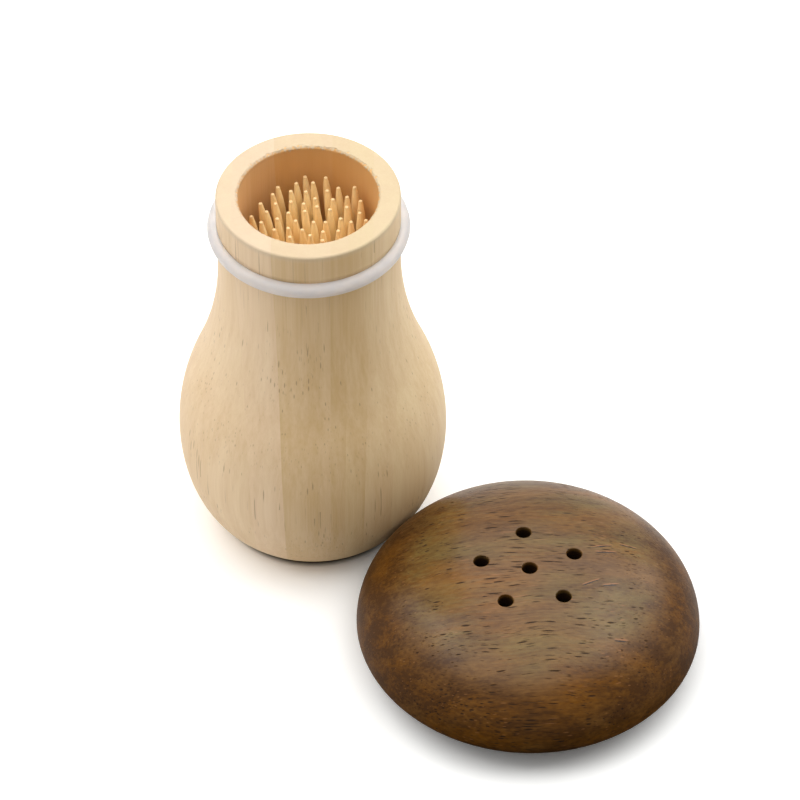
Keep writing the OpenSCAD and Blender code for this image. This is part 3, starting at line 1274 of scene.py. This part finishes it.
@dataclass
class Cap:
    """The domed wooden cap with its six dispensing holes."""

    radius: float = 38.14 * MM
    height: float = 25 * MM
    widest_z: float = 7.9 * MM
    base_r: float = 26.5 * MM
    side_fullness: float = 2.9
    top_fullness: float = 1.95
    base_fullness: float = 1.4
    socket_r: float = 21.8 * MM
    socket_depth: float = 12.5 * MM
    socket_bevel: float = 0.8 * MM
    hole_r: float = 1.7 * MM
    hole_count: int = 5
    hole_circle_r: float = 10.85 * MM
    hole_turn: float = math.radians(96)
    hole_round: float = 0.28 * MM
    softness: float = 0.3 * MM
    plate_r: float = 15.6 * MM
    segments: int = 256
    hole_sides: int = 48
    # The rings of points round each hole, in millimetres from its edge
    collar: tuple[float, ...] = (0, 0.012, 0.04, 0.08, 0.13, 0.19, 0.25, 0.32, 0.5, 0.8, 1.2)
    # The fill between the holes, and how far apart its rows are as a share of it
    fill: float = 0.62 * MM
    row_step: float = 0.866
    hole_rows: int = 12

    def centre(self) -> Vector:
        """Returns the middle of the cap's base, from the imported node's box."""
        low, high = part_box("cap")
        return Vector(((low.x + high.x) / 2, (low.y + high.y) / 2, 0.0))

    def crown_z(self, r: float) -> float:
        """Returns the height of the crown at a radius."""
        share = 1 - (r / self.radius) ** self.side_fullness
        return self.widest_z + (self.height - self.widest_z) * share ** (1 / self.top_fullness)

    def outline(self) -> Outline:
        """Returns the outline from the pierced plate over the side to the socket's ceiling."""
        widest = self.widest_z
        start = math.acos((self.plate_r / self.radius) ** (self.side_fullness / 2))
        crown = swell(
            (0.0, widest),
            (self.radius, self.height - widest),
            (self.side_fullness, self.top_fullness),
            (start, 0.0),
            56,
        )
        under = swell(
            (self.base_r, widest),
            (self.radius - self.base_r, -widest),
            (self.base_fullness, self.base_fullness),
            (0.0, math.pi / 2),
            36,
        )
        soft = self.softness
        socket_r, ceiling = self.socket_r, self.socket_depth
        mouth_r = socket_r + self.socket_bevel
        eased = soft * (1 - math.sqrt(0.5))
        return chain(
            crown,
            under,
            line((self.base_r, 0.0), (mouth_r + soft, 0.0), 8),
            arc((mouth_r + soft, soft), soft, 270, 225, 3),
            line((mouth_r + eased, eased), (socket_r, self.socket_bevel), 4),
            line((socket_r, self.socket_bevel), (socket_r, ceiling - soft), 14),
            arc((socket_r - soft, ceiling - soft), soft, 0, 90, 5),
            line((socket_r - soft, ceiling), (self.plate_r, ceiling), 6),
        )

    def holes(self) -> list[Vector]:
        """Returns the middle of each hole, seen from above, about the cap's axis."""
        turns = [self.hole_turn + 2 * math.pi * k / self.hole_count for k in range(self.hole_count)]
        ring = [Vector((math.cos(a), math.sin(a))) * self.hole_circle_r for a in turns]
        return [Vector((0.0, 0.0)), *ring]

    def circle(self, centre: Vector, r: float, sides: int) -> list[Vector]:
        """Returns points round a circle, seen from above."""
        turns = [2 * math.pi * k / sides for k in range(sides)]
        return [centre + r * Vector((math.cos(a), math.sin(a))) for a in turns]

    def plate(self) -> tuple[list[Vector], list[tuple[int, ...]]]:
        """Fills the round plate in the middle of the cap and leaves its holes open.

        Returns:
            The points, seen from above, and the triangles between them.
        """
        points = self.circle(Vector((0.0, 0.0)), self.plate_r, self.segments)
        edges: list[tuple[int, int]] = []
        for centre in self.holes():
            for k, out in enumerate(self.collar):
                first = len(points)
                points += self.circle(centre, self.hole_r + out * MM, self.hole_sides)
                if k == 0:
                    sides = self.hole_sides
                    edges += [(first + s, first + (s + 1) % sides) for s in range(sides)]
        kept_off = self.hole_r + (self.collar[-1] + 0.25) * MM
        rows = int(self.plate_r / self.fill) + 1
        for row in range(-rows, rows + 1):
            for column in range(-rows, rows + 1):
                spot = Vector((column + 0.5 * (row % 2), row * self.row_step)) * self.fill
                far = all((spot - centre).length > kept_off for centre in self.holes())
                if far and spot.length < self.plate_r - 0.6 * self.fill:
                    points.append(spot)
        made, _, faces, *_ = delaunay_2d_cdt(points, edges, [], 0, 1e-8)

        def open_here(face: Sequence[int]) -> bool:
            """Tells whether a triangle lies in a hole."""
            middle = sum((made[k] for k in face), Vector((0.0, 0.0))) / len(face)
            return any((middle - centre).length < self.hole_r * 0.999 for centre in self.holes())

        return made, [tuple(face) for face in faces if not open_here(face)]

    def to_hole(self, spot: Vector) -> float:
        """Returns the distance from a point, seen from above, to the nearest hole's edge."""
        return min((spot - centre).length for centre in self.holes()) - self.hole_r

    def fall(self, distance: float) -> float:
        """Returns how far the surface has rounded away at a distance from a hole's edge."""
        if distance >= self.hole_round:
            return 0.0
        inward = self.hole_round - max(0.0, distance)
        return self.hole_round - math.sqrt(max(0.0, self.hole_round**2 - inward**2))

    def hole_level(self, point: Vector) -> float:
        """Returns how deep inside a hole a point of the cap is, from 0 to 1."""
        inside = ramp(0.12 * MM - self.to_hole(point.xy), 0.0, 0.1 * MM)
        depth = self.crown_z(min(point.xy.length, self.plate_r)) - point.z
        return inside * ramp(depth, self.hole_round, 1.1 * MM)

    def pierce(self, mesh: bpy.types.Mesh) -> None:
        """Closes the cap with its crown, its ceiling and the holes between them.

        Args:
            mesh: The turned side and socket, open in the middle.
        """
        spots, faces = self.plate()
        work = bmesh.new()
        work.from_mesh(mesh)
        for top in (True, False):
            rows = []
            for spot in spots:
                fall = self.fall(self.to_hole(spot))
                z = self.crown_z(spot.length) - fall if top else self.socket_depth + fall
                rows.append(work.verts.new((spot.x, spot.y, z)))
            for face in faces:
                work.faces.new([rows[k] for k in face])
        for centre in self.holes():
            rim = self.circle(centre, self.hole_r, self.hole_sides)
            rows = []
            for k in range(self.hole_rows + 1):
                share = k / self.hole_rows
                row = []
                for spot in rim:
                    high = self.crown_z(spot.length) - self.hole_round
                    low = self.socket_depth + self.hole_round
                    row.append(work.verts.new((spot.x, spot.y, high + (low - high) * share)))
                rows.append(row)
            for upper, lower in zip(rows, rows[1:]):
                for s in range(self.hole_sides):
                    t = (s + 1) % self.hole_sides
                    work.faces.new((upper[s], upper[t], lower[t], lower[s]))
        bmesh.ops.remove_doubles(work, verts=work.verts, dist=SEAM_WELD)
        work.to_mesh(mesh)
        work.free()

    def build(self, lathe: Lathe, finish: Material) -> None:
        """Builds the cap and dresses it.

        Args:
            lathe: The tree that turns outlines.
            finish: The dark wood.
        """
        piece = lathe.turn("domed_cap", self.outline(), self.segments, finish)
        self.pierce(piece.data)
        tidy_mesh(piece.data)
        set_mask(piece.data, Mask.BORE, self.hole_level)
        piece.data.transform(Matrix.Translation(self.centre()))
        dress(piece, "cap", ["cap"])


class SplitWood:
    """The Geometry Nodes tree that makes a turned rod a split toothpick, and stands it in place."""

    def __init__(self) -> None:
        """Builds the tree."""
        group = ShapeTree(
            "Split toothpick",
            {
                "Rod": (Group.GEOMETRY, None),
                "Foot": (Group.VECTOR, (0.0, 0.0, 0.0)),
                "Axis": (Group.VECTOR, (0.0, 0.0, 1.0)),
                "Length": (Group.FLOAT, 65 * MM),
                "Unevenness": (Group.FLOAT, 0.03 * MM),
                "Cut Length": (Group.FLOAT, 0.6 * MM),
                "Seed": (Group.FLOAT, 0.0),
            },
        )
        given = group.given
        position = group.add("GeometryNodeInputPosition").outputs[0]
        seeded = group.vector(
            "ADD", position, group.combine(given["Seed"], group.times(given["Seed"], 1.7))
        )
        _, _, z = group.separate(position)
        to_end = group.math("MINIMUM", z, group.math("SUBTRACT", given["Length"], z))
        tip = group.math("SUBTRACT", 1.0, group.math("DIVIDE", to_end, given["Cut Length"]), clamp=True)
        bulge = group.clouds(group.vector("DIVIDE", seeded, (0.8 * MM, 0.8 * MM, 9 * MM)), 2.0)
        shift = group.times(group.math("SUBTRACT", bulge, 0.5), group.times(given["Unevenness"], 2.0))
        outward = group.vector("NORMALIZE", group.vector("MULTIPLY", position, (1.0, 1.0, 0.0)))
        scaled = group.scaled(outward, shift)
        kept = self._store(group, given["Rod"], Mask.FIBRE, "FLOAT_VECTOR", seeded)
        kept = self._store(group, kept, Mask.TIP, "FLOAT", tip)
        tone = group.clouds(group.combine(given["Seed"], 0.37, 0.71), 0.0)
        kept = self._store(group, kept, Mask.TONE, "FLOAT", group.spread(tone, 0.3, 0.7))
        uneven = group.add("GeometryNodeSetPosition", {"Geometry": kept, "Offset": scaled}).outputs[0]
        lean = group.facing(given["Axis"])
        stood = group.add(
            "GeometryNodeTransform",
            {"Geometry": uneven, "Translation": given["Foot"], "Rotation": lean},
        ).outputs[0]
        group.feed(group.result["Geometry"], stood)
        self.group = group

    @staticmethod
    def _store(group: Group, geometry: Socket, mask: Mask, kind: str, value: Any) -> Socket:
        """Keeps a value on the points of the geometry as one of the masks."""
        node = group.add("GeometryNodeStoreNamedAttribute", data_type=kind, domain="POINT")
        group.feed(node.inputs["Geometry"], geometry)
        group.feed(node.inputs["Name"], mask.value)
        group.feed(node.inputs["Value"], value)
        return node.outputs[0]


@dataclass
class Toothpicks:
    """The toothpicks that stand in the bore, each on a body of its own."""

    radius: float = 0.95 * MM
    tip_r: float = 0.425 * MM
    taper: float = 6 * MM
    taper_power: float = 1.3
    # Room for the uneven surface inside the plain rod
    slack: float = 0.02 * MM
    # Radius and height of the tip's points, in millimetres
    blunt_end: tuple[Span, ...] = ((0.0, 0.0), (0.28, 0.0), (0.37, 0.05), (0.425, 0.16))
    sides: int = 20
    seed_step: float = 0.731

    def outline(self, length: float) -> Outline:
        """Returns a toothpick's outline, both ends tapered and softly blunt."""
        end = [(r * MM, z * MM) for r, z in self.blunt_end]
        for k in range(1, 11):
            share = (k / 10) ** self.taper_power
            r = self.tip_r + (self.radius - self.tip_r) * math.sin(math.pi / 2 * share)
            end.append((r - self.slack, self.taper * share))
        shaft = line(end[-1], (end[-1][0], length - self.taper), 12)
        return chain(end, shaft, [(r, length - z) for r, z in reversed(end)])

    def build(self, lathe: Lathe, split: SplitWood, finish: Material) -> None:
        """Builds every toothpick where its node stands and dresses it.

        Args:
            lathe: The tree that turns outlines.
            split: The tree that splits and stands a rod.
            finish: The toothpicks' wood.
        """
        axes = {joint["child"]: Vector(joint["axis"]) for joint in frame["joints"]}
        names = sorted(name for name in frame["nodes"] if name.startswith("toothpick_"))
        for number, name in enumerate(names, 1):
            axis = axes[name].normalized()
            low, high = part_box(name)
            lean = math.sqrt(1 - axis.z**2)
            length = (high.z - low.z - 2 * self.tip_r * lean) / axis.z
            foot = (low + high) / 2 - axis * length / 2
            piece = lathe.turn(f"round_{name}", self.outline(length), self.sides, finish)
            stand = {"Foot": tuple(foot), "Axis": tuple(axis), "Length": length}
            apply_tree(piece, split.group, {**stand, "Seed": self.seed_step * number})
            dress(piece, name, [name])


# ------------------------------------------------------------------ the studio


@dataclass(frozen=True)
class Softbox:
    """One soft square lamp."""

    name: str
    place: Place
    width: float
    depth: float
    power: float
    aim: Place = (0.02, -0.02, 0.03)

    def build(self) -> None:
        """Hangs the lamp and turns it to where it aims."""
        data = bpy.data.lights.new(self.name, "AREA")
        data.shape = "RECTANGLE"
        data.size = self.width
        data.size_y = self.depth
        data.energy = self.power
        lamp = new_object(self.name, data)
        lamp.location = self.place
        lamp.rotation_mode = "QUATERNION"
        lamp.rotation_quaternion = (Vector(self.aim) - lamp.location).to_track_quat("-Z", "Y")


@dataclass
class Studio:
    """The pale floor, the soft light and the camera."""

    lens: float = 185.175
    sensor: float = 36.0
    camera_place: Place = (0.01977, -0.65063, 0.69639)
    camera_pitch: float = math.radians(44.39)
    floor_reach: float = 6.0
    paper: Colour = (0.95, 0.95, 0.94)
    extra: Colour = (0.25, 0.25, 0.24)
    # Painted shadow: the dark ring that the camera sees on the floor beside the vessel's foot
    foot_shadow: Colour = (0.04, 0.03, 0.02)
    bounce: Colour = (0.90, 0.89, 0.87)
    # Painted shade: the floor's colour to bounced and mirrored light before the cap and between it and
    # the vessel, and where that patch lies
    dim_bounce: Colour = (0.08, 0.08, 0.07)
    dim_place: Place = (0.065, -0.125, 0.0)
    dim_gap: Place = (0.034, -0.024, 0.0)
    dim_reach: Span = (0.055, 0.12)
    gap_reach: Span = (0.012, 0.036)
    foot_shadow_reach: Span = (22.8 * MM, 20.4 * MM)
    white_reach: Span = (0.14, 0.5)
    lamps: tuple[Softbox, ...] = (
        Softbox("Overhead softbox", (0.0, 0.40, 1.0), 1.2, 1.70, 10.2, (0.0, 0.40, 0.0)),
        Softbox("Left softbox", (-0.95, 0.35, 1.0), 1.4, 1.2, 9.2),
        Softbox("Right softbox", (0.98, 0.40, 0.95), 1.4, 1.2, 10.8),
        Softbox("Front softbox", (-0.50, -0.98, 1.35), 2.4, 1.4, 8.2),
    )
    sky: float = 0.15

    @staticmethod
    def _watched(graph: Graph) -> tuple[Socket, Socket]:
        """Returns where a surface is seen directly or through glass, and also where mirrored."""
        path = graph.add("ShaderNodeLightPath").outputs
        seen = graph.math("MAXIMUM", path["Is Camera Ray"], path["Is Transmission Ray"])
        return seen, graph.math("MAXIMUM", seen, path["Is Glossy Ray"])

    def _seen_floor(self, graph: Graph, from_foot: Socket) -> Socket:
        """Returns the shader of the floor as it is seen.

        Args:
            graph: The floor's graph.
            from_foot: The distance from the middle of the vessel's foot.

        Returns:
            The shader's socket.
        """
        # Two layers, so that it looks white where little shadow falls and dark at a contact
        layers = {0: graph.matt(self.paper), 1: graph.matt(self.extra)}
        bright = graph.add("ShaderNodeAddShader", layers).outputs[0]
        # Painted shadow: to the camera the floor is painted dark in a narrow ring beside the vessel's
        # foot, where hardly any light reaches
        shaded = graph.spread(from_foot, *self.foot_shadow_reach)
        return graph.cover(shaded, bright, graph.matt(self.foot_shadow))

    def floor(self) -> None:
        """Lays the pale floor, which looks white where no shadow falls."""
        mesh = bpy.data.meshes.new("floor")
        r = self.floor_reach
        mesh.from_pydata([(-r, -r, 0), (r, -r, 0), (r, r, 0), (-r, r, 0)], [], [(0, 1, 2, 3)])
        floor = new_object("floor", mesh)
        material = bpy.data.materials.new("Pale floor")
        graph = empty_graph(material)
        seen, shown = self._watched(graph)
        place = graph.place()
        away = graph.measure("LENGTH", place)
        # Painted shade: to bounced and mirrored light the floor is painted dark before the cap and
        # between it and the vessel, so less light comes back up there, while the camera still sees it
        # pale
        before_cap = graph.measure("DISTANCE", place, self.dim_place)
        between = graph.measure("DISTANCE", place, self.dim_gap)
        open_floor = graph.times(
            graph.spread(before_cap, *self.dim_reach), graph.spread(between, *self.gap_reach)
        )
        dim = graph.matt(graph.blend(open_floor, self.dim_bounce, self.bounce))
        near = graph.cover(seen, dim, self._seen_floor(graph, away))
        white = graph.add("ShaderNodeEmission", {"Color": (1.0, 1.0, 1.0), "Strength": 1.0})
        far = graph.times(graph.spread(away, *self.white_reach), shown)
        graph.surface(graph.cover(far, near, white.outputs[0]))
        mesh.materials.append(material)

    def world(self) -> None:
        """Sets an even sky, white to the camera and behind glossy and clear pieces."""
        world = bpy.data.worlds.new("Plain sky")
        bpy.context.scene.world = world
        graph = empty_graph(world)
        _, shown = self._watched(graph)
        strength = graph.add(
            "ShaderNodeMapRange", {"Value": shown, "To Min": self.sky, "To Max": 1.0}
        ).outputs[0]
        sky = graph.add("ShaderNodeBackground", {"Color": (1.0, 1.0, 1.0), "Strength": strength})
        graph.surface(sky.outputs[0], "ShaderNodeOutputWorld")

    def camera(self) -> None:
        """Places the camera at the photograph's point of view."""
        data = bpy.data.cameras.new("Camera")
        data.lens = self.lens
        data.sensor_width = self.sensor
        camera = new_object("Camera", data)
        camera.location = self.camera_place
        camera.rotation_euler = (self.camera_pitch, 0.0, 0.0)
        bpy.context.scene.camera = camera

    def build(self) -> None:
        """Builds the whole studio."""
        self.floor()
        self.world()
        self.camera()
        for lamp in self.lamps:
            lamp.build()
        bpy.context.scene.view_settings.view_transform = "Standard"


def main() -> None:
    """Builds the dressed dispenser and its studio."""
    logging.basicConfig(level=logging.INFO, format="%(message)s")
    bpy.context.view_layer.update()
    effects = WoodEffects()
    lathe = Lathe()
    pale_wood = PaleWood(effects).material()
    Vessel().build(lathe, pale_wood)
    TornFibres().build(pale_wood)
    SealRing().build(lathe, Silicone().material())
    cap = Cap()
    cap.build(lathe, DarkWood(effects, cap.centre()).material())
    Toothpicks().build(lathe, SplitWood(), ToothpickWood(effects).material())
    Studio().build()


if __name__ == "__main__":
    main()
